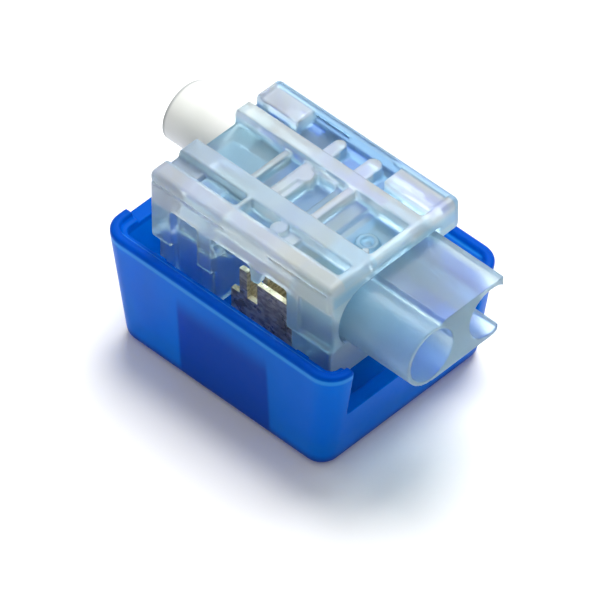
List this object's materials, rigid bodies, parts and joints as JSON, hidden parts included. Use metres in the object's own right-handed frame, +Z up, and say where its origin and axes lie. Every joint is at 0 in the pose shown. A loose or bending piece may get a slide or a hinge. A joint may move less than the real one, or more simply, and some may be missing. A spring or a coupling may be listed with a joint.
{
  "type": "insulation displacement wire connector",
  "caption": "Press-down wire connector: a blue tub with a slotted contact and a clear carrier with two wire ports and a rear sleeve.",
  "frame": {"origin": "middle of the tub's underside, at the draft's centre", "axes": "+X from the sleeve towards the two wire ports, +Y towards the side-open channel, +Z up"},
  "size_m": [0.0359, 0.0216, 0.0192],
  "materials": {
    "blue_tub": "translucent blue moulded plastic",
    "tinned_contact": "tin-plated spring brass",
    "clear_carrier": "clear moulded plastic, slightly hazy",
    "clear_port": "clear moulded plastic",
    "milky_sleeve": "natural milky plastic"
  },
  "bodies": {
    "tub": {"base_tub": "blue_tub", "idc_contact": "tinned_contact"},
    "carrier": {"wire_carrier": "clear_carrier", "port_block": "clear_port", "rear_sleeve": "milky_sleeve"}
  },
  "joints": [
    {"name": "carrier_press", "type": "slide", "parent": "tub", "child": "carrier", "axis": [0, 0, -1], "range_m": [0, 0.0045]}
  ]
}
